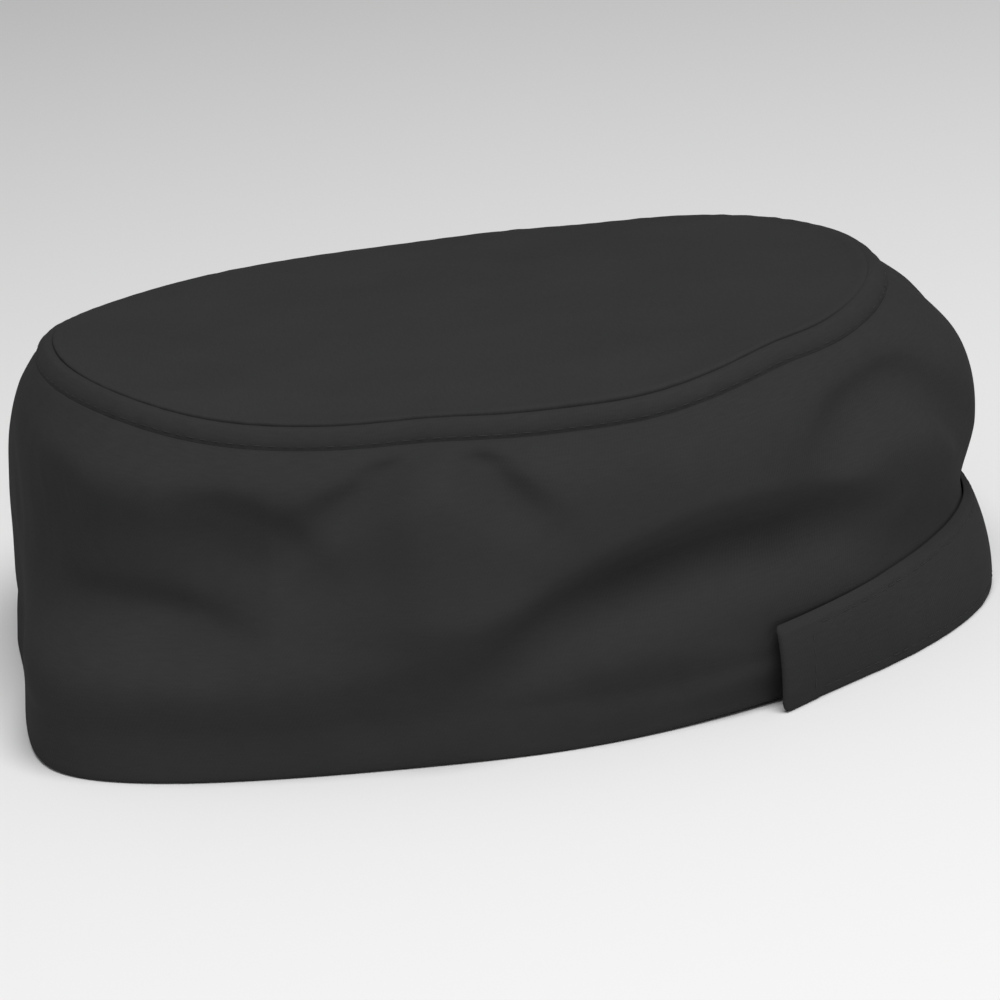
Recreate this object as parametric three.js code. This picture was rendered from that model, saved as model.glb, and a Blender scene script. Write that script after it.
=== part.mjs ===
// Chef skull cap
// A low, brimless cook's cap of black cotton twill, standing on its rim. A flat oval crown is sewn to a
// narrow topstitched welt, a tall soft wall with a turned hem hangs from the welt, and an adjusting strap
// goes round the back of the rim.
// Millimetres, +Z up. The front of the cap faces -Y, and the strap's free end is on the +X side.
// An angle round the cap is in degrees from +X: 90 is the middle of the back, -90 the middle of the front.
// A height on the wall is a share of it, from 0 at the rim to 1 at the welt.
import * as THREE from "three";
import { LoftGeometry } from "three/addons/geometries/LoftGeometry.js";

// Rim: the outside oval that the cap stands on, blunt at the front, where the cap has been folded flat
const rimLength = 201.5;
const rimWidth = 166.5;
const rimSquareness = { front: 5.5, side: 2, back: 2.2 };
const rimTaper = { front: 0.2, side: 0, back: 0.02 };

// Crown: the oval seam between its panel and the welt, and that seam's height
const crownLength = 168;
const crownWidth = 150.5;
const crownSquareness = { front: 2.1, side: 2.1, back: 2.1 };
const crownTaper = { front: 0, side: 0, back: 0 };
const seamHeight = { front: 72, side: 65, back: 69.5 };
const seamWave = 1.2;
const crownSag = 1.6;

// Welt: the band between the crown's seam and the wall, its slope from level in degrees, and its swell
const weltWidth = 5.1;
const weltSlope = 50;
const weltSwell = 0.5;

// Cloth: wall thicknesses, the turned hem with the crease at its stitching, and the gap at a seam
const clothThickness = 1.6;
const weltThickness = 2.4;
const hemThickness = 2.8;
const hemHeight = 11;
const hemCrease = 0.5;
const seamGap = 0.3;

// How far the wall stands out beyond a straight drop, and how deep its folds are. By height on the wall,
// the folds are whole above foldStart and below foldEnd, the wall's edge turns to the welt's mitre from
// mitreStart, and its cloth thins from the hem to one thickness over hemStep.
const wallFullness = 6;
const foldDepth = 4;
const foldStart = 0.12;
const foldEnd = 0.93;
const mitreStart = 0.85;
const hemStep = 0.03;

// Strap: its height at its ends and at the back, and the angles of its free end and its sewn end. It
// stands beside the rim, which it lifts a little, and its free end curls away from the wall. Both lifts
// ease over strapEaseAngle, and each end closes to an edge over strapEndAngle.
const strapThickness = 2.2;
const strapEndHeight = 17;
const strapBackHeight = 25;
const strapFreeAngle = 22.5;
const strapSewnAngle = 156;
const strapGap = 0.4;
const strapEndLift = 4.2;
const rimLift = 0.6;
const strapEaseAngle = 20;
const strapEndAngle = 0.6;

// Facets round the cap and across each piece
const columns = 96;
const wallRows = 12;
const weltRows = 3;
const crownRings = 7;
const strapColumns = 35;
const strapRows = 4;

// The wall's section from rim to welt. closing is how far it has come in from the rim's oval to the
// welt's, and front, side and back are shares of wallFullness by which it stands out from that.
const wallSection = [
  { height: 0.0, closing: 0.0, front: 0.0, side: 0.0, back: 0.0 },
  { height: 0.15, closing: 0.0, front: -0.65, side: 0.2, back: -0.05 },
  { height: 0.35, closing: 0.03, front: -0.75, side: 0.35, back: -0.5 },
  { height: 0.55, closing: 0.1, front: -0.52, side: 0.45, back: 0.45 },
  { height: 0.75, closing: 0.28, front: -0.25, side: 0.45, back: 0.75 },
  { height: 0.9, closing: 0.6, front: -0.1, side: 0.3, back: 0.4 },
  { height: 1.0, closing: 1.0, front: 0.0, side: 0.0, back: 0.0 },
];

// Folds of the wall. path is its angles and heights, width its half width as a share of the wall's
// height, and depth its depth as a share of foldDepth, in (-) or out (+).
const wallFolds = [
  { name: "long near valley", path: [[46, 0.5], [26, 0.57], [12, 0.5], [-8, 0.25]], width: 0.14, depth: -1 },
  { name: "overhang above it", path: [[36, 0.78], [14, 0.72], [-2, 0.58]], width: 0.13, depth: 0.35 },
  { name: "upper front hollow", path: [[-64, 0.78], [-44, 0.84], [-28, 0.68]], width: 0.12, depth: -0.6 },
  { name: "lower front hollow", path: [[-68, 0.6], [-46, 0.56], [-36, 0.45]], width: 0.1, depth: -0.5 },
  { name: "swell above the hem", path: [[-62, 0.26], [-40, 0.3], [-14, 0.36]], width: 0.12, depth: 0.4 },
  { name: "tuck at the hem", path: [[-44, 0.12], [-26, 0.13], [-8, 0.15]], width: 0.08, depth: -0.5 },
  { name: "tent under the welt", path: [[-12, 0.9], [-14, 0.62]], width: 0.13, depth: 0.5 },
  { name: "tent's front crease", path: [[-14, 0.94], [-25, 0.82]], width: 0.05, depth: -0.4 },
  { name: "tent's back crease", path: [[-9, 0.94], [1, 0.76]], width: 0.05, depth: -0.45 },
  { name: "dent over the strap", path: [[36, 0.72], [46, 0.85], [58, 0.82]], width: 0.08, depth: -0.45 },
  { name: "long far valley", path: [[130, 0.52], [152, 0.6], [176, 0.48]], width: 0.14, depth: -0.8 },
  { name: "far hollow", path: [[-166, 0.74], [-142, 0.6], [-122, 0.66]], width: 0.13, depth: -0.55 },
  { name: "swell above the far hem", path: [[-172, 0.3], [-148, 0.26], [-124, 0.28]], width: 0.12, depth: 0.35 },
  { name: "front hollow", path: [[-106, 0.7], [-92, 0.56], [-82, 0.64]], width: 0.13, depth: -0.4 },
  { name: "gather at the back", path: [[84, 0.86], [92, 0.6]], width: 0.09, depth: -0.5 },
];

// Waves of the crown's seam: each has its angle, its half width in degrees and its rise as a share of
// seamWave.
const seamWaves = [
  { angle: -42, spread: 16, rise: -1 },
  { angle: -13, spread: 9, rise: 0.8 },
  { angle: 15, spread: 10, rise: -0.8 },
  { angle: 36, spread: 8, rise: 0.9 },
  { angle: 152, spread: 12, rise: -0.6 },
  { angle: 178, spread: 11, rise: 0.6 },
  { angle: -124, spread: 22, rise: -1.2 },
];

const degrees = Math.PI / 180;
const { clamp, euclideanModulo, lerp, smoothstep } = THREE.MathUtils;

// The turn from one angle to another, the short way round.
function turnTo(angle, from) {
  return euclideanModulo(angle - from + 180, 360) - 180;
}

// A value at an angle, from its values at the front, on the sides and at the back.
function around(angle, value) {
  const end = Math.sin(angle * degrees) < 0 ? value.front : value.back;
  return lerp(value.side, end, Math.sin(angle * degrees) ** 2);
}

// A point of an oval, grown outwards by a margin.
function ovalPoint(length, width, squareness, taper, angle, margin, z) {
  const c = Math.cos(angle * degrees);
  const s = Math.sin(angle * degrees);
  const power = around(angle, squareness);
  const reach = (Math.abs(c) ** power + Math.abs(s) ** power) ** (-1 / power);
  const x = (width / 2 + margin) * reach * c * (1 - around(angle, taper));
  const y = (length / 2 + margin) * reach * s;
  return new THREE.Vector3(x, y, z);
}

// A smooth curve through one column of a table whose rows are ordered by height.
function along(rows, height, column) {
  const i = Math.max(1, rows.findIndex((row) => row.height >= height));
  const [a, b] = [rows[i - 1], rows[i]];
  const before = rows[Math.max(0, i - 2)];
  const after = rows[Math.min(rows.length - 1, i + 1)];
  const span = b.height - a.height;
  const slopeA = ((b[column] - before[column]) / (b.height - before.height)) * span;
  const slopeB = ((after[column] - a[column]) / (after.height - a.height)) * span;
  const t = (height - a.height) / span;
  const run = b[column] - a[column];
  const bend = (1 - t) * (slopeA - run) - t * (slopeB - run);
  return a[column] + run * t + t * (1 - t) * bend;
}

// The seam between crown and welt, grown outwards by a margin and lowered by a drop.
function seamPoint(angle, margin, drop) {
  const rise = seamWaves.reduce((sum, wave) => {
    const away = turnTo(angle, wave.angle) / wave.spread;
    return sum + seamWave * wave.rise * Math.exp(-away * away);
  }, 0);
  const z = around(angle, seamHeight) + rise - drop;
  return ovalPoint(crownLength, crownWidth, crownSquareness, crownTaper, angle, margin, z);
}

// A point of the welt's slope, by its distance from the seam.
function weltSlopePoint(angle, distance) {
  const slope = weltSlope * degrees;
  return seamPoint(angle, distance * Math.cos(slope), distance * Math.sin(slope));
}

// How far the rim is lifted behind the strap, with a slow start before each of its ends.
function liftOfRim(angle) {
  const rise = smoothstep(angle, strapFreeAngle - strapEaseAngle, strapFreeAngle);
  const fall = smoothstep(angle, strapSewnAngle, strapSewnAngle + strapEaseAngle);
  return rimLift * (rise - fall);
}

// How near a fold's path comes to a place on the wall, in millimetres.
function distanceToPath(path, angle, height) {
  const girthPerDegree = ((rimLength + rimWidth) / 4) * degrees;
  const [firstAngle] = path[0];
  const unrolled = (a, h) => new THREE.Vector2(turnTo(a, firstAngle) * girthPerDegree, h * seamHeight.side);
  const here = unrolled(angle, height);
  const spans = path.slice(1).map((end, i) => {
    const start = unrolled(...path[i]);
    const run = unrolled(...end).sub(start);
    const share = clamp(here.clone().sub(start).dot(run) / run.lengthSq(), 0, 1);
    return here.distanceTo(start.addScaledVector(run, share));
  });
  return Math.min(...spans);
}

// How far the folds and the hem's crease push the wall out. Folds die away at the rim and at the welt.
function foldAt(angle, height) {
  const push = wallFolds.reduce((sum, fold) => {
    const away = distanceToPath(fold.path, angle, height) / (fold.width * seamHeight.side);
    return sum + fold.depth * foldDepth * Math.exp(-away * away);
  }, 0);
  const fade = smoothstep(height, 0, foldStart) * (1 - smoothstep(height, foldEnd, 1));
  const crease = hemCrease * Math.exp(-(((height * seamHeight.side - hemHeight) / hemThickness) ** 2));
  return push * fade - crease;
}

// The wall's outer face.
function wallPoint(angle, height) {
  const rim = ovalPoint(rimLength, rimWidth, rimSquareness, rimTaper, angle, 0, liftOfRim(angle));
  const head = weltSlopePoint(angle, weltWidth);
  const point = rim.clone().lerp(head, along(wallSection, height, "closing"));
  const fullness = around(angle, {
    front: along(wallSection, height, "front"),
    side: along(wallSection, height, "side"),
    back: along(wallSection, height, "back"),
  });
  const out = rim.clone().setZ(0).normalize();
  point.setZ(lerp(rim.z, head.z, height));
  return point.addScaledVector(out, fullness * wallFullness + foldAt(angle, height));
}

// The outward normal of a face that is given by angle and share, from short steps along both.
function normalOf(face, angle, share) {
  const turn = 0.5;
  const step = 0.01;
  const round = face(angle + turn, share).sub(face(angle - turn, share));
  const rise = face(angle, Math.min(1, share + step)).sub(face(angle, Math.max(0, share - step)));
  return round.cross(rise).normalize();
}

// The outward normal of the welt's slope, which the edges of the pieces that meet there follow.
function weltNormal(angle) {
  return normalOf((a, share) => weltSlopePoint(a, weltWidth * (1 - share)), angle, 0.5);
}

// The welt's outer face, from a seam's gap above the wall to half a gap below the crown's seam.
function weltPoint(angle, share) {
  const swell = weltSwell * Math.sin(Math.PI * share);
  const point = weltSlopePoint(angle, lerp(weltWidth - seamGap, seamGap / 2, share));
  return point.addScaledVector(weltNormal(angle), swell);
}

// A point of the crown, at a depth below its upper face, from its middle to its mitred edge.
function crownPoint(angle, share, depth) {
  const edge = seamPoint(angle, -seamGap - depth * Math.tan(weltSlope * degrees), 0);
  const middle = (seamHeight.front + seamHeight.back + 2 * seamHeight.side) / 4;
  const z = lerp(middle, edge.z, share ** 2) - crownSag * (1 - share ** 2);
  return edge.multiplyScalar(share).setZ(z - depth);
}

// A ring of points round the cap, from a function of the angle.
function ringOf(place) {
  return Array.from({ length: columns }, (_, i) => place((i * 360) / columns - 180));
}

function evenShares(count) {
  return Array.from({ length: count + 1 }, (_, i) => i / count);
}

// A closed band of cloth: its face's rings from the first share to the last, and its back's rings after.
// The function inwards gives the step from the face to the back.
function clothBand(face, shares, inwards) {
  const outer = shares.map((share) => ringOf((angle) => face(angle, share)));
  const inner = shares.map((share) => ringOf((angle) => face(angle, share).add(inwards(angle, share))));
  return new LoftGeometry([...outer, ...inner.reverse(), outer[0]]);
}

// Side wall: one thickness of cloth, doubled where the hem is turned in at the rim. Its edge is level at
// the rim and mitred at the welt.
function sideWall() {
  const hem = hemHeight / seamHeight.side;
  const above = evenShares(wallRows - 3).map((share) => lerp(hem + hemStep, 1, share));
  const inwards = (angle, height) => {
    const mitre = smoothstep(height, mitreStart, 1);
    const normal = normalOf(wallPoint, angle, height).lerp(weltNormal(angle), mitre);
    normal.z *= smoothstep(height, 0, hem);
    return normal.setLength(height > hem ? -clothThickness : -hemThickness);
  };
  return clothBand(wallPoint, [0, hem / 2, hem, ...above], inwards);
}

function crownWelt() {
  return clothBand(weltPoint, evenShares(weltRows), (angle) => weltNormal(angle).setLength(-weltThickness));
}

// Crown top: rings from the middle out to the seam on its under face, and back in on its upper face.
function crownTop() {
  const rings = (depth) => evenShares(crownRings).map((share) => ringOf((a) => crownPoint(a, share, depth)));
  return new LoftGeometry([...rings(clothThickness), ...rings(0).reverse()]);
}

// Back strap: a flat band that follows the wall at a gap, and curls away from it at its free end.
function strapPoint(angle, z, out) {
  const height = z / seamHeight.side;
  const settled = clamp((angle - strapFreeAngle) / strapEaseAngle, 0, 1);
  const lift = strapEndLift * (1 - settled) ** 3;
  const level = normalOf(wallPoint, angle, height).setZ(0).normalize();
  return wallPoint(angle, height).setZ(z).addScaledVector(level, strapGap + lift + out);
}

// A section of the strap, up its inside and down its outside. A fullness of 0 folds the two together.
function strapSection(angle, fullness) {
  const top = lerp(strapEndHeight, strapBackHeight, Math.sin(angle * degrees) ** 4);
  const heights = evenShares(strapRows).map((share) => share * top);
  const inside = heights.map((z) => strapPoint(angle, z, (strapThickness / 2) * (1 - fullness)));
  const outside = heights.map((z) => strapPoint(angle, z, (strapThickness / 2) * (1 + fullness)));
  return [...inside, ...outside.reverse()];
}

function backStrap() {
  const middles = evenShares(strapColumns).map((share) =>
    strapSection(lerp(strapFreeAngle + strapEndAngle, strapSewnAngle - strapEndAngle, share), 1),
  );
  return new LoftGeometry([strapSection(strapFreeAngle, 0), ...middles, strapSection(strapSewnAngle, 0)]);
}

const twill = { color: 0x323232, roughness: 0.9, metalness: 0 };

function piece(name, geometry) {
  const mesh = new THREE.Mesh(geometry, new THREE.MeshStandardMaterial(twill));
  mesh.name = name;
  return mesh;
}

const cap = new THREE.Group();
cap.add(piece("crown_top", crownTop()));
cap.add(piece("crown_welt", crownWelt()));
cap.add(piece("side_wall", sideWall()));
cap.add(piece("back_strap", backStrap()));

// The origin is the middle of the cap's outline from above, on the surface that it stands on.
const middle = new THREE.Box3().setFromObject(cap).getCenter(new THREE.Vector3());
cap.position.set(-middle.x, -middle.y, 0);

export default cap;
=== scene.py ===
import math

import bmesh
import bpy
import numpy as np
from mathutils import Matrix, Vector


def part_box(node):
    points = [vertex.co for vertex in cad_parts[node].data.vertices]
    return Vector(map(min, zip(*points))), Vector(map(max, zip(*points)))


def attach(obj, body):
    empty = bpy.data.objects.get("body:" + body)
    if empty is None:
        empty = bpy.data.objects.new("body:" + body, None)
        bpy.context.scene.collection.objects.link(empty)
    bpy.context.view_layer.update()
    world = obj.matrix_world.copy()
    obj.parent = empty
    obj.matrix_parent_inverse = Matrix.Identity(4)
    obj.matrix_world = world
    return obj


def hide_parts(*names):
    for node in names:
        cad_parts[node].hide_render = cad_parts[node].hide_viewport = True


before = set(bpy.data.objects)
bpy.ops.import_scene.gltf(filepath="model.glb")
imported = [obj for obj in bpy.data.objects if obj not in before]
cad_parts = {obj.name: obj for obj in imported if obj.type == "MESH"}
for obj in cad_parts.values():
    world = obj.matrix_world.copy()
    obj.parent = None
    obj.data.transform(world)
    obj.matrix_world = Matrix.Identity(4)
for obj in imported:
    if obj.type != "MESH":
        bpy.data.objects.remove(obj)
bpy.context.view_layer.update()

MM = 0.001

# Rim and crown ovals: length, width, squareness and taper, the last two at the front, sides and back
RIM = (201.5, 166.5, (5.5, 2, 2.2), (0.2, 0, 0.02))
CROWN = (168, 150.5, (2.1, 2.1, 2.1), (0, 0, 0))

# Heights: the crown's seam at the front, sides and back, the wall on the sides, the waves of the seam,
# and the sag of the crown's middle
SEAM_HEIGHT = (72, 65, 69.5)
SIDE_HEIGHT = 65
SEAM_WAVE = 1.2
CROWN_SAG = 1.6

# Ridge inside the crown's seam: its height, what is added to it on the near side and over how many
# degrees, its distance from the seam, and its half width
RIDGE = 0.4
NEAR_RIDGE = 0.35
NEAR_RIDGE_SPREAD = 30
RIDGE_INSET = 1.8
RIDGE_WIDTH = 1.2

# Welt: its width, its slope from level in degrees at the front, sides and back, and its swell
WELT_WIDTH = 4.75
WELT_SLOPE = (48, 70, 50)
WELT_SWELL = 0.5

# Sunk lines, each with its depth and half width: the seams above and below the welt, how far the upper
# one turns in under the crown's edge, and the stitching of the hem and of the strap
UPPER_SEAM = (1.0, 0.5)
UPPER_TUCK = (0.9, 0.45)
LOWER_SEAM = (0.2, 0.6)
HEM_LINE = (0.12, 0.6)
STRAP_LINE = (0.07, 0.5)

# Cloth: the wall, the turned hem, and the depth and half width of the crease over the hem's stitching
CLOTH = 1.1
HEM_CLOTH = 2.2
HEM_HEIGHT = 11
HEM_CREASE = (0.3, 2.8)

# Folds: how far a share of 1 in the wall's section stands out, how square a fold's shoulders are, how
# many of its widths a fold reaches, and the heights between which folds have their full depth
WALL_FULLNESS = 6
FOLD_SHARPNESS = 2.4
FOLD_REACH = 3
FOLD_FOOT = 0.12
FOLD_HEAD = 0.93

# Strap: its thickness, its heights at its ends and at the back, and the angles of its two ends
STRAP_THICKNESS = 2.2
STRAP_END_HEIGHT = 17
STRAP_BACK_HEIGHT = 22
STRAP_FREE_ANGLE = 22.8
STRAP_SEWN_ANGLE = 156

# Strap's lie: its gap from the rim, how far its middle bows out, how far its free end curls off the wall
# and over how many degrees, and how far the rim is lifted behind it
STRAP_GAP = 0.4
STRAP_BOW = 0.9
STRAP_END_LIFT = 3.9
STRAP_EASE_ANGLE = 20
RIM_LIFT = 0.6

# Strap's making: the width and height of its turned end, the radii of its ends' upper and lower corners,
# the width of its pressed upper edge and how much thinner that is, and its section's roundness up and out
STRAP_END_HEM = 9
STRAP_END_STEP = 0.25
STRAP_CORNERS = (0.8, 2.2)
STRAP_EDGE = (1.5, 0.5)
STRAP_SECTION = (0.8, 0.65)

# Stitches: length, width, and spacing as a share of the length
STITCH_LENGTH = 2.2
STITCH_WIDTH = 0.24
STITCH_SPACING = 1.3

# Where stitches run: the share of the welt's height, the distances from the strap's edges and from its
# turned end's fold, the degrees that the strap's rows stop short of its ends, and how deep threads lie
WELT_STITCHES = 0.14
STRAP_STITCHES = 2.2
END_STITCHES = 1.5
STITCHES_STOP = 1.2
WELT_THREAD_SUNK = 0.04
HEM_THREAD_SUNK = 0.06
STRAP_THREAD_SUNK = 0.05

# Puckers along the stitching: their height, their count round the cap, the seed of their unevenness, and
# how far from the stitching they reach
WALL_PUCKERS = (0.2, 64, 1.3, 4.5)
HEM_PUCKERS = (0.14, 58, 4.1, 4)
WELT_PUCKERS = (0.05, 83, 2.2, 4)
CROWN_PUCKERS = (0.08, 71, 0.6, 5)
STRAP_PUCKERS = (0.1, 60, 2.9, 4)

# Colours of the cloth, its thread and the floor, and the brightness of the light from all round
TWILL_COLOUR = (0.0333, 0.0333, 0.0338)
THREAD_COLOUR = (0.033, 0.033, 0.0335, 1)
FLOOR_COLOUR = (0.9, 0.9, 0.9, 1)
SKY_STRENGTH = 0.26

# Steps round the cap in degrees and up it as a share, from which the surfaces' slopes are worked out
TURN_STEP = 0.4
RISE_STEP = 0.01

# Camera: its angles in degrees, its distance and aim in millimetres, and its focal length as a share of
# the picture's width
CAMERA_AZIMUTH = 81.1
CAMERA_ELEVATION = 17
CAMERA_ROLL = -6.06
CAMERA_DISTANCE = 786.9
CAMERA_AIM = (0, 3.81, 25.43)
FOCAL_SHARE = 3.787

# Wall's section: height, how far it has come in from the rim's oval to the welt's, and how far it
# stands out at the front, sides and back, as shares of WALL_FULLNESS
WALL_SECTION = [
    (0.0, 0.0, 0.0, 0.0, 0.0),
    (0.15, 0.0, -0.3, 0.2, -0.05),
    (0.35, 0.03, -0.45, 0.35, -0.5),
    (0.55, 0.1, -0.38, 0.45, 0.4),
    (0.75, 0.28, -0.17, 0.6, 0.68),
    (0.9, 0.6, 0.0, 0.62, 0.35),
    (1.0, 1.0, 0.0, 0.0, 0.0),
]

# Wall's folds: a path of angles, heights and shares of the depth, the half widths above and below it in
# millimetres, and how far it is pushed in (-) or out (+)
WALL_FOLDS = [
    ("long near valley",
     [(45, 0.46, 0), (39, 0.49, 0.5), (32, 0.54, 1), (22, 0.58, 1), (14, 0.57, 1), (6, 0.52, 1),
      (-2, 0.42, 0.8), (-10, 0.31, 0.6), (-20, 0.22, 0.3)],
     4.8, 8, -5.7),
    ("overhang above it",
     [(43, 0.6, 0.2), (34, 0.68, 0.9), (24, 0.74, 1), (16, 0.75, 1), (10, 0.71, 0.9),
      (3, 0.63, 0.5)],
     11, 4, 1.0),
    ("swell below it",
     [(38, 0.36, 0.5), (28, 0.34, 1), (16, 0.3, 1), (6, 0.27, 0.7)],
     7, 7, 2.0),
    ("hollow of the front corner",
     [(-96, 0.57, 0), (-84, 0.57, 0.15), (-74, 0.57, 0.45), (-66, 0.57, 0.8), (-57, 0.57, 1),
      (-47, 0.56, 1), (-38, 0.56, 0.9), (-30, 0.58, 0.4)],
     20, 11, -8.4),
    ("shoulder of the front corner",
     [(-72, 0.88, 0.2), (-60, 0.9, 1), (-48, 0.92, 1), (-40, 0.93, 0.5)],
     5, 8, 2.2),
    ("hollow by the front corner",
     [(-68, 0.77, 0.2), (-60, 0.79, 1), (-52, 0.8, 0.6), (-44, 0.8, 0)],
     7, 10, -1.8),
    ("upper front hollow",
     [(-44, 0.82, 0.2), (-37, 0.81, 1), (-31, 0.74, 1), (-27, 0.64, 0.4)],
     6, 13, -2.8),
    ("lower front hollow",
     [(-62, 0.45, 0.2), (-54, 0.48, 0.8), (-46, 0.49, 1), (-37, 0.44, 0.8), (-32, 0.38, 0.2)],
     6, 6, -1.9),
    ("slack behind the front corner",
     [(-46, 0.52, 0.2), (-37, 0.51, 1), (-28, 0.48, 0.8), (-20, 0.46, 0.2)],
     15, 8, -2.0),
    ("swell above the hem",
     [(-72, 0.3, 0.1), (-58, 0.31, 0.8), (-46, 0.32, 1), (-36, 0.31, 0.8), (-26, 0.34, 0.3)],
     7, 10, 1.8),
    ("swell between the hollows",
     [(-44, 0.66, 0.4), (-34, 0.56, 0.8), (-28, 0.48, 0.6)],
     6, 6, 1.2),
    ("full cloth over the hem",
     [(-42, 0.44, 0.2), (-34, 0.45, 0.8), (-24, 0.45, 1), (-12, 0.42, 1), (-2, 0.38, 0.4)],
     12, 23, 3.7),
    ("tuck at the hem",
     [(-46, 0.16, 0.2), (-34, 0.14, 1), (-24, 0.13, 1), (-8, 0.12, 1), (0, 0.13, 0.4)],
     8, 6, -1.2),
    ("tent under the welt",
     [(-12, 0.98, 0.5), (-12, 0.86, 0.8), (-12, 0.7, 1), (-11, 0.52, 0.8)],
     9, 9, 3.4),
    ("tent's front crease",
     [(-14, 0.98, 0.4), (-17, 0.93, 0.9), (-22, 0.85, 0.9), (-27, 0.77, 0.3)],
     4.5, 5, -3.4),
    ("tent's back crease",
     [(-10.5, 0.98, 0.4), (-8, 0.93, 1), (-5, 0.85, 1), (-1, 0.74, 0.3)],
     5, 5, -4.2),
    ("swell behind the strap's end",
     [(12, 0.15, 0.3), (18, 0.15, 1), (26, 0.15, 0.6)],
     6, 6, 2.2),
    ("tuck above the strap",
     [(30, 0.34, 0.2), (40, 0.36, 1), (52, 0.37, 1), (64, 0.38, 0.4)],
     5, 6, -0.5),
    ("dent over the strap",
     [(32, 0.7, 0.3), (39, 0.79, 0.8), (47, 0.82, 1), (54, 0.8, 1), (60, 0.66, 0.6),
      (64, 0.56, 0.2)],
     7, 6, -5.2),
    ("swell under the dent",
     [(44, 0.7, 0.8), (50, 0.62, 1), (56, 0.6, 0.6)],
     6, 6, 1.0),
    ("crease over the hem",
     [(2, 0.19, 0.4), (8, 0.19, 1), (16, 0.17, 1), (20, 0.16, 0.3)],
     4, 5, -0.8),
    ("long far valley",
     [(128, 0.52, 0.3), (138, 0.56, 1), (152, 0.6, 1), (168, 0.52, 1), (180, 0.42, 0.4)],
     6, 12, -4.0),
    ("overhang of the far side",
     [(136, 0.76, 0.4), (152, 0.8, 1), (170, 0.7, 0.5)],
     8, 5, 1.8),
    ("far hollow",
     [(-168, 0.78, 0.4), (-154, 0.72, 1), (-140, 0.62, 1), (-130, 0.64, 0.3)],
     7, 9, -2.6),
    ("swell above the far hem",
     [(-172, 0.3, 0.5), (-148, 0.26, 1), (-130, 0.28, 0.4)],
     7, 7, 1.5),
    ("front hollow",
     [(-100, 0.76, 0.4), (-90, 0.66, 1), (-82, 0.62, 0.4)],
     9, 9, -0.8),
    ("gather at the back",
     [(84, 0.9, 1), (87, 0.76, 0.8), (92, 0.6, 0.3)],
     5, 5, -2.0),
    ("second gather at the back",
     [(101, 0.92, 1), (104, 0.78, 0.6), (106, 0.66, 0.2)],
     4, 4, -1.5),
]

# Waves of the rim: angle, half width in degrees, and push in millimetres
RIM_WAVES = [
    (-103, 28, -2.4),
    (-54, 8, 0.8),
    (68, 14, 1.4),
]

# Soft dents of the crown: angle, share of the way out, half widths in degrees and as a share, and depth
CROWN_DENTS = [
    (-14, 0.83, 20, 0.11, 1.9),
    (28, 0.84, 11, 0.1, 1.6),
    (-67, 0.82, 9, 0.1, 1.8),
    (78, 0.8, 12, 0.1, 0.6),
    (160, 0.76, 20, 0.1, 0.7),
    (-140, 0.8, 16, 0.1, 0.6),
]

# Waves of the crown's seam: angle, half width in degrees, and rise as a share of SEAM_WAVE
SEAM_WAVES = [
    (-42, 16, -1),
    (-13, 9, 0.8),
    (15, 10, -0.8),
    (36, 8, 0.9),
    (152, 12, -0.6),
    (176, 12, -0.2),
    (-124, 22, -1.2),
]

# Slack in the welt's stitching: angle, half width in degrees, and how much of its pull is missing
SEAM_SLACK = [
    (64, 20, 0.55),
    (-62, 24, 0.3),
]


def smooth(value, low, high):
    """0 below low, 1 above high, and smooth between them."""
    t = np.clip((value - low) / (high - low), 0, 1)
    return t * t * (3 - 2 * t)


def hump(distance, half_width):
    """1 in the middle, and falling away smoothly on both sides."""
    return np.exp(-((distance / half_width) ** 2))


def groove(distance, line):
    """The depth of a sunk line, by the distance from it."""
    depth, half_width = line
    return depth * hump(distance, half_width)


def turn(angle, start):
    """The turn from one angle to another, the short way round."""
    return (angle - start + 180) % 360 - 180


def around(angle, values):
    """A value at an angle, from its values at the front, on the sides and at the back."""
    front, side, back = values
    s = np.sin(np.radians(angle))
    return side + (np.where(s < 0, front, back) - side) * s**2


def place(x, y, z):
    """Points from their three coordinates, any of which may be one number for all."""
    return np.stack(np.broadcast_arrays(x, y, z), axis=-1).astype(float)


def oval(shape, angle, margin, z):
    """A point of an oval, grown outwards by a margin."""
    length, width, squareness, taper = shape
    c = np.cos(np.radians(angle))
    s = np.sin(np.radians(angle))
    power = around(angle, squareness)
    reach = (np.abs(c) ** power + np.abs(s) ** power) ** (-1 / power)
    x = (width / 2 + margin) * reach * c * (1 - around(angle, taper))
    y = (length / 2 + margin) * reach * s
    return place(x, y, z)


def seam(angle, margin, drop):
    """The seam between crown and welt, grown outwards by a margin and lowered by a drop."""
    rise = sum(SEAM_WAVE * share * hump(turn(angle, at), spread) for at, spread, share in SEAM_WAVES)
    return oval(CROWN, angle, margin, around(angle, SEAM_HEIGHT) + rise - drop)


def welt_slope(angle, distance):
    """A point of the welt's slope, by its distance from the seam."""
    slope = np.radians(around(angle, WELT_SLOPE))
    return seam(angle, distance * np.cos(slope), distance * np.sin(slope))


def along(height, column):
    """A smooth curve through one column of the wall's section."""
    rows = WALL_SECTION
    heights = [row[0] for row in rows]
    i = np.clip(np.searchsorted(heights, height), 1, len(rows) - 1)
    h = np.array(heights)
    v = np.array([row[column] for row in rows])
    low, high = i - 1, i
    before = np.maximum(0, i - 2)
    after = np.minimum(len(rows) - 1, i + 1)
    span = h[high] - h[low]
    slope_low = (v[high] - v[before]) / (h[high] - h[before]) * span
    slope_high = (v[after] - v[low]) / (h[after] - h[low]) * span
    t = (height - h[low]) / span
    run = v[high] - v[low]
    bend = (1 - t) * (slope_low - run) - t * (slope_high - run)
    return v[low] + run * t + t * (1 - t) * bend


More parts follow.
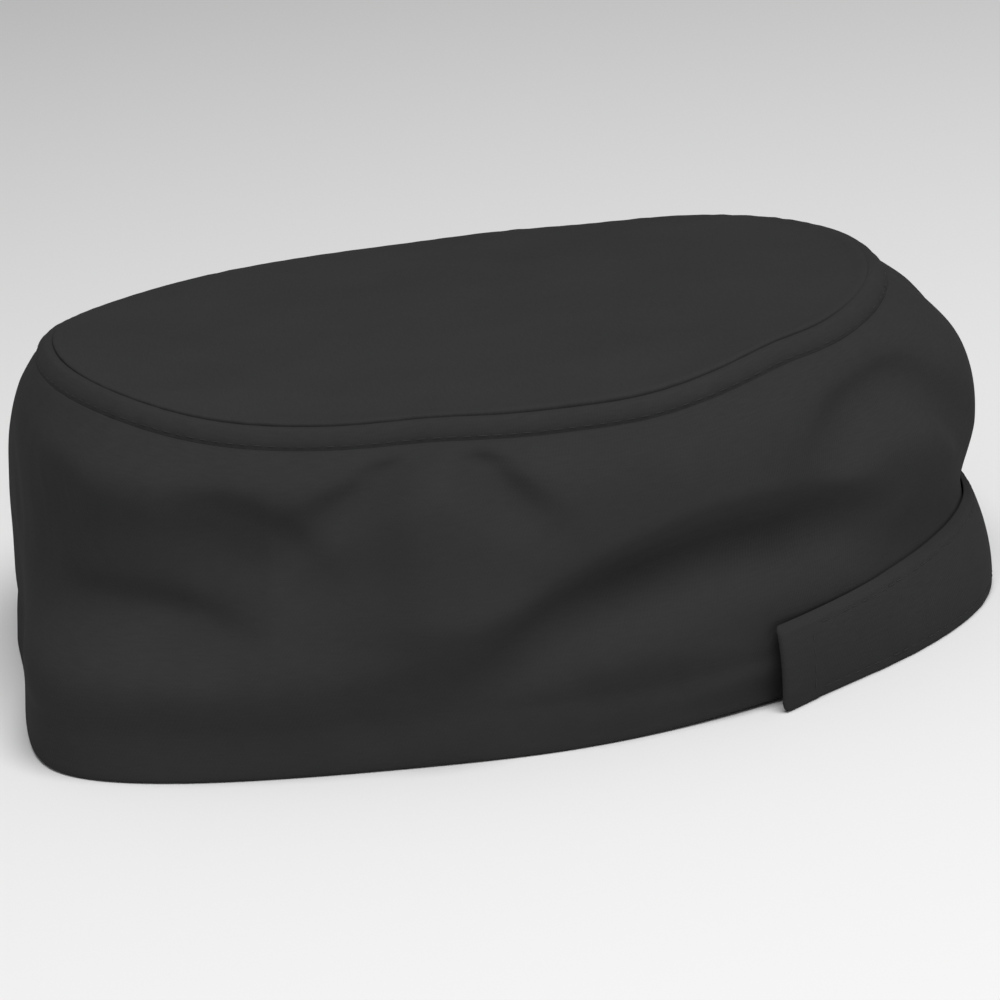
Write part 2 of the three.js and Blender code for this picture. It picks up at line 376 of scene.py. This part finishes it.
def ripple(angle, cycles, seed):
    """An uneven row of ripples round the cap, between about -1 and 1."""
    a = np.radians(angle)
    parts = [(1.0, 1.0), (1.31, 0.8), (0.77, 0.7), (1.73, 0.5)]
    total = 0
    for k, (pitch, weight) in enumerate(parts):
        total = total + weight * np.sin(round(cycles * pitch) * a + seed * (k + 1) * 1.7)
    swing = 0.6 + 0.4 * np.sin(5 * a + seed) * np.sin(3 * a - 2 * seed)
    return total / 1.9 * swing


def puckers(angle, distance, kind):
    """The small puckers that a line of stitching pulls into the cloth, by the distance from it."""
    size, count, seed, reach = kind
    return size * ripple(angle, count, seed) * hump(distance, reach)


def rounded(points, parts=3):
    """A smooth curve through points, each stretch of it cut into parts."""
    points = np.array(points, float)
    before = np.vstack([points[:1], points[:-2]])
    after = np.vstack([points[2:], points[-1:]])
    curve = []
    for p0, p1, p2, p3 in zip(before, points[:-1], points[1:], after):
        for t in np.arange(parts) / parts:
            leaving = p1 + t / 2 * (p2 - p0)
            bend = t**2 * (2 * p0 - 5 * p1 + 4 * p2 - p3) + t**3 * (3 * p1 - 3 * p2 + p3 - p0)
            curve.append(leaving + bend / 2)
    return np.vstack([curve, points[-1:]])


def fold_push(angle, height):
    """How far the folds push the wall out."""
    per_degree = math.radians((RIM[0] + RIM[1]) / 4)
    angle, height = np.broadcast_arrays(angle, height)
    push = np.zeros(angle.shape)
    for _, path, above, below, depth in WALL_FOLDS:
        first = path[0][0]
        flat = rounded([(turn(a, first) * per_degree, h * SIDE_HEIGHT, share) for a, h, share in path])
        if flat[-1][0] < 0:
            flat = flat[::-1]
        here = np.stack([turn(angle, first) * per_degree, height * SIDE_HEIGHT], axis=-1)
        reach = FOLD_REACH * max(above, below)
        near = (here[..., 0] > flat[:, 0].min() - reach) & (here[..., 0] < flat[:, 0].max() + reach)
        here = here[near]
        nearest = np.full(len(here), np.inf)
        width = np.full(len(here), float(above))
        strength = np.zeros(len(here))
        for (*start, weak), (*end, strong) in zip(flat, flat[1:]):
            start = np.array(start)
            run = np.array(end) - start
            share = np.clip((here - start) @ run / (run @ run), 0, 1)
            gap = here - start - share[..., None] * run
            away = np.linalg.norm(gap, axis=-1)
            side = run[0] * gap[..., 1] - run[1] * gap[..., 0]
            lean = 0.5 + 0.5 * np.clip(side / (np.linalg.norm(run) * np.maximum(away, 0.01)), -1, 1)
            closer = away < nearest
            nearest = np.where(closer, away, nearest)
            width = np.where(closer, below + (above - below) * lean, width)
            strength = np.where(closer, weak + (strong - weak) * share, strength)
        push[near] += depth * strength * np.exp(-((nearest / width) ** FOLD_SHARPNESS))
    return push * smooth(height, 0, FOLD_FOOT) * (1 - smooth(height, FOLD_HEAD, 1))


def rim_lift(angle):
    """How far the rim is lifted behind the strap."""
    rise = smooth(angle, STRAP_FREE_ANGLE - STRAP_EASE_ANGLE, STRAP_FREE_ANGLE)
    fall = smooth(angle, STRAP_SEWN_ANGLE, STRAP_SEWN_ANGLE + STRAP_EASE_ANGLE)
    return RIM_LIFT * (rise - fall)


def wall_base(angle, height):
    """The wall's outer face without its small puckers."""
    wave = sum(push * hump(turn(angle, at), spread) for at, spread, push in RIM_WAVES)
    rim = oval(RIM, angle, wave, rim_lift(angle))
    head = welt_slope(angle, WELT_WIDTH)
    point = rim + (head - rim) * along(height, 1)[..., None]
    point[..., 2] = rim[..., 2] + (head[..., 2] - rim[..., 2]) * height
    fullness = around(angle, (along(height, 2), along(height, 3), along(height, 4)))
    out = rim * (1, 1, 0)
    out /= np.linalg.norm(out, axis=-1, keepdims=True)
    crease = groove(height * SIDE_HEIGHT - HEM_HEIGHT, HEM_CREASE)
    push = fullness * WALL_FULLNESS + fold_push(angle, height) - crease
    return point + out * push[..., None]


def normal_of(face, angle, share):
    """The outward normal of a face that is given by angle and share."""
    turned = face(angle + TURN_STEP, share) - face(angle - TURN_STEP, share)
    raised = face(angle, np.minimum(1, share + RISE_STEP)) - face(angle, np.maximum(0, share - RISE_STEP))
    normal = np.cross(turned, raised)
    return normal / np.linalg.norm(normal, axis=-1, keepdims=True)


def welt_normal(angle):
    """The outward normal of the welt's slope."""
    return normal_of(lambda a, s: welt_slope(a, WELT_WIDTH * (1 - s)), angle, np.full_like(angle, 0.5))


def wall_normal(angle, height):
    """The wall's outward normal, level at the rim and turned to the welt's at the top."""
    normal = normal_of(wall_base, angle, height)
    normal = normal + (welt_normal(angle) - normal) * smooth(height, 0.9, 1)[..., None]
    normal[..., 2] *= smooth(height, 0, HEM_HEIGHT / SIDE_HEIGHT)
    return normal / np.linalg.norm(normal, axis=-1, keepdims=True)


def seam_pull(angle):
    """How hard the welt's stitching draws the cloth in. It is slack in a few places."""
    return 1 - sum(slack * hump(turn(angle, at), spread) for at, spread, slack in SEAM_SLACK)


def tucked(point, angle, distance):
    """A point drawn in under the crown's edge, by its distance from their seam."""
    inwards = groove(distance, UPPER_TUCK) * seam_pull(angle)
    out = point * (1, 1, 0)
    reach = np.maximum(np.linalg.norm(out, axis=-1, keepdims=True), 1)
    return point - out / reach * inwards[..., None]


def wall(angle, height):
    """The wall's outer face, with the puckers that its stitching pulls into it."""
    below_welt = (1 - height) * SIDE_HEIGHT
    from_hem = height * SIDE_HEIGHT - HEM_HEIGHT
    pucker = puckers(angle, below_welt, WALL_PUCKERS) + puckers(angle, from_hem, HEM_PUCKERS)
    sunk = groove(below_welt, LOWER_SEAM) + groove(from_hem, HEM_LINE)
    return wall_base(angle, height) + wall_normal(angle, height) * (pucker - sunk)[..., None]


def welt(angle, share):
    """The welt's outer face, from the wall up to the crown's seam."""
    point = welt_slope(angle, WELT_WIDTH * (1 - share))
    body = WELT_SWELL * np.sin(np.pi * share)
    sunk = groove((1 - share) * WELT_WIDTH, UPPER_SEAM) + groove(share * WELT_WIDTH, LOWER_SEAM)
    sunk *= seam_pull(angle)
    pucker = puckers(angle, 0, WALL_PUCKERS) * (1 - share) + puckers(angle, 0, WELT_PUCKERS) * share
    point = point + welt_normal(angle) * (body - sunk + pucker)[..., None]
    return tucked(point, angle, (1 - share) * WELT_WIDTH)


def crown(angle, share):
    """The crown's upper face, from its middle to its edge."""
    edge = seam(angle, 0, 0)
    middle = (SEAM_HEIGHT[0] + SEAM_HEIGHT[2] + 2 * SEAM_HEIGHT[1]) / 4
    point = edge * share[..., None]
    from_edge = (1 - share) * CROWN[1] / 2
    ridge = RIDGE + NEAR_RIDGE * hump(angle, NEAR_RIDGE_SPREAD)
    ridge = ridge * hump(from_edge - RIDGE_INSET, RIDGE_WIDTH)
    pucker = puckers(angle, from_edge, CROWN_PUCKERS)
    sag = CROWN_SAG * (1 - share**2)
    for at, way, degrees, reach, depth in CROWN_DENTS:
        sag = sag + depth * hump(turn(angle, at), degrees) * hump(share - way, reach)
    rise = (ridge - groove(from_edge, UPPER_SEAM)) * seam_pull(angle) + pucker - sag
    point[..., 2] = middle + (edge[..., 2] - middle) * share**2 + rise
    return tucked(point, angle, from_edge)


def crown_share(up):
    """The rows of the crown's grid as shares of the way out, crowded towards its edge."""
    return 1 - up**1.6


def strap_top(angle):
    """The height of the strap's upper edge."""
    rise = np.abs(np.sin(np.radians(angle))) ** 3
    return STRAP_END_HEIGHT + (STRAP_BACK_HEIGHT - STRAP_END_HEIGHT) * rise


def strap(angle, z, out):
    """A place on the strap, at a height above the floor and a distance out from its inner face. It lies
    straight from the rim to its upper edge, which hugs the wall, and its free end curls outwards."""
    top = strap_top(angle)
    share = z / top
    foot = wall_base(angle, 0 * angle)
    head = wall_base(angle, top / SIDE_HEIGHT)
    along_rim = wall_base(angle + TURN_STEP, 0 * angle) - wall_base(angle - TURN_STEP, 0 * angle)
    level = np.cross(along_rim, (0, 0, 1))
    level /= np.linalg.norm(level, axis=-1, keepdims=True)
    settled = np.clip((angle - STRAP_FREE_ANGLE) / STRAP_EASE_ANGLE, 0, 1)
    lift = STRAP_END_LIFT * (1 - settled) ** (3 + 2 * share) * (1 - 0.75 * share)
    bow = STRAP_GAP * (1 - share) + STRAP_BOW * np.sin(np.pi * share)
    point = foot + (head - foot) * share[..., None] + level * (lift + bow + out)[..., None]
    point[..., 2] = z
    return point


def strap_pressed(angle, z):
    """The share of the strap's thickness that is left where its upper edge is pressed."""
    width, thinner = STRAP_EDGE
    return 1 - thinner * (1 - smooth(strap_top(angle) - z, 0, width))


def strap_face(angle, z):
    """How far the strap's outer face lies from its inner one."""
    to_edge = np.abs(2 * z / strap_top(angle) - 1) ** (1 / STRAP_SECTION[0])
    bulge = np.sqrt(np.clip(1 - to_edge**2, 0, 1)) ** STRAP_SECTION[1]
    return STRAP_THICKNESS / 2 * (1 + bulge) * strap_pressed(angle, z)


low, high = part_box("crown_top")
CENTRE = Vector(((low.x + high.x) / 2, (low.y + high.y) / 2, 0))


def put(bm, points):
    """Moves a mesh's vertices to points in millimetres round the crown's middle."""
    for vertex, point in zip(bm.verts, points):
        vertex.co = CENTRE + Vector(point) * MM


def grid(columns, rows):
    """A flat grid with its own UV map, and its vertices' places across and up it, from 0 to 1."""
    bm = bmesh.new()
    bm.loops.layers.uv.new("cloth")
    bmesh.ops.create_grid(bm, x_segments=columns, y_segments=rows, size=0.5, calc_uvs=True)
    flat = np.array([v.co for v in bm.verts])
    return bm, flat[:, 0] + 0.5, flat[:, 1] + 0.5


def make_piece(bm, name, node, material, outside=None, thickness=0.0, unroll=None):
    """Makes an object of a shaped sheet that faces out. A thickness goes on its inside, and unroll gives
    the cloth's own flat place in millimetres for a place on the grid."""
    bmesh.ops.remove_doubles(bm, verts=bm.verts, dist=1e-6)
    bmesh.ops.recalc_face_normals(bm, faces=bm.faces)
    if outside:
        face = max(bm.faces, key=lambda f: f.calc_center_median().dot(outside))
        if face.normal.dot(outside) < 0:
            bmesh.ops.reverse_faces(bm, faces=bm.faces)
    for face in bm.faces:
        face.smooth = True
    mesh = bpy.data.meshes.new(name)
    bm.to_mesh(mesh)
    bm.free()
    if unroll:
        uv = np.empty(len(mesh.loops) * 2, np.float32)
        mesh.uv_layers[0].data.foreach_get("uv", uv)
        across, up = unroll(uv[0::2], uv[1::2])
        uv[0::2], uv[1::2] = across, up
        mesh.uv_layers[0].data.foreach_set("uv", uv)
    mesh.materials.append(material)
    piece = bpy.data.objects.new(name, mesh)
    bpy.context.scene.collection.objects.link(piece)
    if thickness:
        solid = piece.modifiers.new("thickness", "SOLIDIFY")
        solid.thickness = thickness * MM
        solid.offset = -1
    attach(piece, "root")
    if node:
        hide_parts(node)
    return piece


# Materials
def node_maker(material):
    """A function that adds a node to a material, with its sockets' links or values and its settings."""
    tree = material.node_tree

    def add(kind, links=None, **settings):
        made = tree.nodes.new(kind)
        for key, value in settings.items():
            setattr(made, key, value)
        for socket, value in (links or {}).items():
            if isinstance(value, bpy.types.NodeSocket):
                tree.links.new(value, made.inputs[socket])
            else:
                made.inputs[socket].default_value = value
        return made

    return add


def twill(name, colour):
    """Cotton twill on a UV map in millimetres: fine diagonal wales, uneven yarns and soft fading."""
    material = bpy.data.materials.new(name)
    material.use_nodes = True
    shader = material.node_tree.nodes["Principled BSDF"]
    add = node_maker(material)
    coordinates = add("ShaderNodeTexCoord")
    cloth, here = coordinates.outputs["UV"], coordinates.outputs["Object"]
    turned = add("ShaderNodeMapping", {"Vector": cloth, "Rotation": (0, 0, math.radians(28))})
    wales = add("ShaderNodeTexWave", {"Vector": turned.outputs[0], "Scale": 0.56, "Distortion": 0.6,
                                      "Detail": 1.0, "Detail Scale": 2.0})
    long_yarns = add("ShaderNodeMapping", {"Vector": cloth, "Scale": (0.25, 3.0, 1.0)})
    yarns = add("ShaderNodeTexNoise", {"Vector": long_yarns.outputs[0], "Scale": 1.1, "Detail": 2.0})
    fading = add("ShaderNodeTexNoise", {"Vector": here, "Scale": 34.0, "Detail": 4.0, "Roughness": 0.6})
    fade = add("ShaderNodeMapRange", {"Value": fading.outputs[0], "From Min": 0.3, "From Max": 0.7,
                                      "To Min": 0.95, "To Max": 1.05})
    streak = add("ShaderNodeMapRange", {"Value": yarns.outputs[0], "From Min": 0.3, "From Max": 0.7,
                                        "To Min": 0.95, "To Max": 1.05})
    line = add("ShaderNodeMapRange", {"Value": wales.outputs[1], "To Min": 0.975, "To Max": 1.02})
    shade = add("ShaderNodeMath", {0: fade.outputs[0], 1: streak.outputs[0]}, operation="MULTIPLY")
    shade = add("ShaderNodeMath", {0: shade.outputs[0], 1: line.outputs[0]}, operation="MULTIPLY")
    tint = add("ShaderNodeVectorMath", {0: colour, 3: shade.outputs[0]}, operation="SCALE")
    weave = add("ShaderNodeMath", {0: wales.outputs[1], 1: yarns.outputs[0]}, operation="ADD")
    bump = add("ShaderNodeBump", {"Height": weave.outputs[0], "Strength": 0.25, "Distance": 0.00005})
    link = material.node_tree.links.new
    link(tint.outputs[0], shader.inputs["Base Color"])
    link(bump.outputs[0], shader.inputs["Normal"])
    shader.inputs["Roughness"].default_value = 1.0
    shader.inputs["Specular IOR Level"].default_value = 0.08
    return material


black_twill = twill("black twill", TWILL_COLOUR)
thread = bpy.data.materials.new("black thread")
thread.use_nodes = True
thread_shader = thread.node_tree.nodes["Principled BSDF"]
thread_shader.inputs["Base Color"].default_value = THREAD_COLOUR
thread_shader.inputs["Roughness"].default_value = 0.8
thread_shader.inputs["Specular IOR Level"].default_value = 0.2

# Crown top
bm, across, up = grid(384, 60)
put(bm, crown(across * 360 - 180, crown_share(up)))


def crown_flat(across, up):
    """The crown's cloth seen from above."""
    flat = crown(across * 360.0 - 180, crown_share(up))
    return flat[..., 0], flat[..., 1]


make_piece(bm, "crown_cloth", "crown_top", black_twill, Vector((0, 0, 1)), CLOTH, crown_flat)

# Crown welt
GIRTH = math.pi * (RIM[0] + RIM[1]) / 2
bm, across, up = grid(600, 16)
put(bm, welt(across * 360 - 180, 0.5 - 0.5 * np.cos(np.pi * up)))
make_piece(bm, "welt_cloth", "crown_welt", black_twill, Vector((1, 0, 0)), CLOTH,
           lambda across, up: (across * GIRTH, up * WELT_WIDTH))

# Side wall: a section up the outside, down the inside with its hem's second layer, and round the rim.
# Each row has its level on the wall and its depth below the outer face.
outside_rows, close_rows, inside_rows, hem_rows, rim_rows = 60, 9, 20, 6, 8
close_level = 62
rim_round = HEM_CLOTH / 2
turn_round = np.linspace(math.pi, 0, rim_rows + 1)[1:]
level = np.concatenate([
    np.linspace(rim_round, close_level - 0.5, outside_rows),
    np.linspace(close_level, SIDE_HEIGHT, close_rows),
    np.linspace(SIDE_HEIGHT, HEM_HEIGHT + 0.6, inside_rows),
    np.linspace(HEM_HEIGHT, rim_round, hem_rows),
    rim_round * (1 - np.sin(turn_round)),
])
depth = np.concatenate([
    np.zeros(outside_rows + close_rows),
    np.full(inside_rows, CLOTH),
    np.full(hem_rows, HEM_CLOTH),
    rim_round * (1 - np.cos(turn_round)),
])
bm, across, up = grid(540, len(level) - 1)
row = np.round(up * (len(level) - 1)).astype(int)
angle = across * 360 - 180
height = level[row] / SIDE_HEIGHT
outer = depth[row] == 0
inside = wall_base(angle, height) - wall_normal(angle, height) * depth[row][:, None]
put(bm, np.where(outer[:, None], wall(angle, height), inside))
run = np.concatenate([[0], np.cumsum(np.hypot(np.diff(level), np.diff(depth)))])


def wall_flat(across, up):
    """The wall's cloth laid flat: round the cap, and along the section."""
    return across * GIRTH, np.interp(up * (len(level) - 1), np.arange(len(level)), run)


make_piece(bm, "wall_cloth", "side_wall", black_twill, unroll=wall_flat)

# Back strap: a section with rounded edges is closed round itself, and drawn in at both ends
STRAP_LENGTH = math.radians(STRAP_SEWN_ANGLE - STRAP_FREE_ANGLE) * (RIM[0] + RIM[1]) / 4
bm, across, up = grid(320, 72)
near_end = across * STRAP_LENGTH
from_end = np.minimum(near_end, STRAP_LENGTH - near_end)
angle = STRAP_FREE_ANGLE + across * (STRAP_SEWN_ANGLE - STRAP_FREE_ANGLE)
c, s = np.cos(2 * np.pi * up), np.sin(2 * np.pi * up)
corner = np.where(c > 0, *STRAP_CORNERS)
narrow = corner * (1 - np.sqrt(1 - np.clip(1 - from_end / corner, 0, 1) ** 2))
half = STRAP_THICKNESS / 2
thin = np.sqrt(np.clip(1 - np.clip(1 - from_end / half, 0, 1) ** 2, 0, 1))
top = strap_top(angle)
z = top / 2 + np.sign(c) * np.abs(c) ** STRAP_SECTION[0] * (top / 2 - narrow)
out = np.sign(s) * np.abs(s) ** STRAP_SECTION[1] * half * thin
from_edge = np.minimum(z, top - z)
turned_end = STRAP_END_STEP * (1 - smooth(near_end, STRAP_END_HEM - 0.8, STRAP_END_HEM + 0.4))
edge_line = groove(from_edge - STRAP_STITCHES, STRAP_LINE)
end_line = groove(near_end - STRAP_END_HEM + END_STITCHES, STRAP_LINE)
pucker = puckers(angle, from_edge, STRAP_PUCKERS)
outer_side = s > 0.2
relief = np.where(outer_side, turned_end - edge_line - end_line + pucker, 0) * thin
put(bm, strap(angle, z, (half + out) * strap_pressed(angle, z) + relief))
make_piece(bm, "strap_cloth", "back_strap", black_twill,
           unroll=lambda across, up: (across * STRAP_LENGTH, up * 2 * STRAP_BACK_HEIGHT))


def stitches(name, points, normals):
    """Rounded threads end to end along a line. Points and normals are in millimetres."""
    bm = bmesh.new()
    steps = np.linalg.norm(np.diff(points, axis=0), axis=1)
    run = np.concatenate([[0], np.cumsum(steps)])
    count = int(run[-1] // (STITCH_LENGTH * STITCH_SPACING))
    half_length, half_width = STITCH_LENGTH / 2, STITCH_WIDTH / 2

    def at(distance, values):
        return Vector([np.interp(distance, run, values[:, k]) for k in range(3)])

    for i in range(count):
        middle = (i + 0.5) * run[-1] / count
        lengthwise = (at(middle + half_length, points) - at(middle - half_length, points)).normalized()
        sideways = at(middle, normals).cross(lengthwise).normalized()
        axes = Matrix((sideways, lengthwise.cross(sideways), lengthwise)).transposed().to_4x4()
        size = Matrix.Diagonal((half_width * MM, half_width * MM, half_length * MM, 1))
        centre = Matrix.Translation(CENTRE + at(middle, points) * MM)
        bmesh.ops.create_uvsphere(bm, u_segments=6, v_segments=5, radius=1, matrix=centre @ axes @ size)
    return make_piece(bm, name, None, thread)


# Topstitching: round the welt, round the hem, along both edges of the strap and across its free end
line = np.linspace(-180, 180, 1441)
flat = np.zeros_like(line)
out = welt_normal(line)
stitches("welt_stitches", welt(line, flat + WELT_STITCHES) - WELT_THREAD_SUNK * out, out)
hem = flat + HEM_HEIGHT / SIDE_HEIGHT
out = wall_normal(line, hem)
stitches("hem_stitches", wall(line, hem) - HEM_THREAD_SUNK * out, out)


def strap_stitches(name, angle, z, raised=0):
    """A row of stitches on the strap, raised where the cloth under it is."""
    out = strap(angle, z, 1 + 0 * angle) - strap(angle, z, 0 * angle)
    stitches(name, strap(angle, z, strap_face(angle, z) - STRAP_THREAD_SUNK + raised), out)


line = np.linspace(STRAP_FREE_ANGLE + STITCHES_STOP, STRAP_SEWN_ANGLE - STITCHES_STOP, 721)
strap_stitches("strap_upper_stitches", line, strap_top(line) - STRAP_STITCHES)
strap_stitches("strap_lower_stitches", line, 0 * line + STRAP_STITCHES)
z = np.linspace(STRAP_STITCHES, STRAP_END_HEIGHT - STRAP_STITCHES, 60)
from_free_end = (STRAP_END_HEM - END_STITCHES) / STRAP_LENGTH * (STRAP_SEWN_ANGLE - STRAP_FREE_ANGLE)
strap_stitches("strap_end_stitches", 0 * z + STRAP_FREE_ANGLE + from_free_end, z, STRAP_END_STEP)

# Floor, light and camera
floor_material = bpy.data.materials.new("pale floor")
floor_material.use_nodes = True
floor_shader = floor_material.node_tree.nodes["Principled BSDF"]
floor_shader.inputs["Base Color"].default_value = FLOOR_COLOUR
floor_shader.inputs["Roughness"].default_value = 0.9
floor_shader.inputs["Specular IOR Level"].default_value = 0.0
bm = bmesh.new()
bmesh.ops.create_grid(bm, x_segments=1, y_segments=1, size=20)
floor_mesh = bpy.data.meshes.new("floor")
bm.to_mesh(floor_mesh)
bm.free()
floor_mesh.materials.append(floor_material)
floor = bpy.data.objects.new("floor", floor_mesh)
bpy.context.scene.collection.objects.link(floor)

world = bpy.data.worlds.new("studio")
bpy.context.scene.world = world
world.use_nodes = True
world.node_tree.nodes["Background"].inputs["Color"].default_value = (1, 1, 1, 1)
world.node_tree.nodes["Background"].inputs["Strength"].default_value = SKY_STRENGTH


def soft_light(name, place, aim, size, power):
    """A round soft light, with its place, aim and size in metres."""
    data = bpy.data.lights.new(name, "AREA")
    data.shape = "DISK"
    data.size = size
    data.energy = power
    lamp = bpy.data.objects.new(name, data)
    lamp.location = place
    lamp.rotation_mode = "QUATERNION"
    lamp.rotation_quaternion = (Vector(aim) - Vector(place)).to_track_quat("-Z", "Y")
    bpy.context.scene.collection.objects.link(lamp)
    return lamp


soft_light("key_light", place=(0.72, 0.12, 1.46), aim=(0, 0, 0.03), size=1.1, power=22)

camera_data = bpy.data.cameras.new("camera")
camera_data.sensor_width = 36
camera_data.lens = camera_data.sensor_width * FOCAL_SHARE
camera = bpy.data.objects.new("camera", camera_data)
bpy.context.scene.collection.objects.link(camera)
bpy.context.scene.camera = camera
azimuth = math.radians(CAMERA_AZIMUTH)
elevation = math.radians(CAMERA_ELEVATION)
roll = math.radians(CAMERA_ROLL)
level_back = Vector((math.sin(azimuth), -math.cos(azimuth), 0))
back = math.cos(elevation) * level_back + math.sin(elevation) * Vector((0, 0, 1))
right = Vector((0, 0, 1)).cross(back).normalized()
upright = back.cross(right)
turned_right = math.cos(roll) * right + math.sin(roll) * upright
turned_up = -math.sin(roll) * right + math.cos(roll) * upright
place_of_camera = Matrix((turned_right, turned_up, back)).transposed().to_4x4()
place_of_camera.translation = CENTRE + (Vector(CAMERA_AIM) + back * CAMERA_DISTANCE) * MM
camera.matrix_world = place_of_camera
camera_data.clip_start = 0.05
camera_data.clip_end = 50
camera_data.dof.use_dof = False

scene = bpy.context.scene
scene.view_settings.view_transform = "Standard"
scene.view_settings.look = "None"
